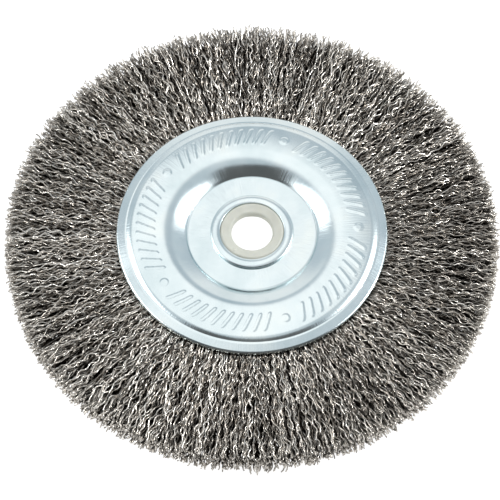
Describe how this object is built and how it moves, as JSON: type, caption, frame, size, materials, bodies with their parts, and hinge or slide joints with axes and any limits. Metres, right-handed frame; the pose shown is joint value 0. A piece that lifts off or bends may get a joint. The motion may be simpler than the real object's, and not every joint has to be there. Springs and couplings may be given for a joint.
{
  "type": "crimped wire wheel brush",
  "caption": "Round crimped-wire wheel brush for a bench grinder, with pressed steel side plates, a rolled hub sleeve and a pull-out nylon bushing.",
  "frame": {"origin": "middle of the wheel, on its axis", "axes": "+Z along the wheel's axis, out of the front side plate; the wheel lies flat on its back side plate"},
  "size_m": [0.1524, 0.1524, 0.0128],
  "materials": {
    "zinc_plate": "bright blue-passivated zinc plate on pressed sheet steel",
    "hub_steel": "zinc-plated steel, smooth where it is rolled",
    "crimped_wire": "oil-tempered crimped steel wire, grey-brown with bright edges",
    "nylon": "moulded natural nylon, satin"
  },
  "bodies": {
    "wheel": {"front_side_plate": "zinc_plate", "back_side_plate": "zinc_plate", "hub_sleeve": "hub_steel", "hub_spacer": "hub_steel", "retaining_hoop": "hub_steel", "wire_bundle_01": "crimped_wire", "wire_bundle_02": "crimped_wire", "wire_bundle_03": "crimped_wire", "wire_bundle_04": "crimped_wire", "wire_bundle_05": "crimped_wire", "wire_bundle_06": "crimped_wire", "wire_bundle_07": "crimped_wire", "wire_bundle_08": "crimped_wire", "wire_bundle_09": "crimped_wire", "wire_bundle_10": "crimped_wire", "wire_bundle_11": "crimped_wire", "wire_bundle_12": "crimped_wire", "wire_bundle_13": "crimped_wire", "wire_bundle_14": "crimped_wire", "wire_bundle_15": "crimped_wire", "wire_bundle_16": "crimped_wire", "wire_bundle_17": "crimped_wire", "wire_bundle_18": "crimped_wire", "wire_bundle_19": "crimped_wire", "wire_bundle_20": "crimped_wire", "wire_bundle_21": "crimped_wire", "wire_bundle_22": "crimped_wire", "wire_bundle_23": "crimped_wire", "wire_bundle_24": "crimped_wire"},
    "bushing": {"reducing_bushing": "nylon"}
  },
  "joints": [
    {"name": "bushing_pull", "type": "slide", "parent": "wheel", "child": "bushing", "axis": [0, 0, 1], "range_m": [0, 0.012]}
  ]
}
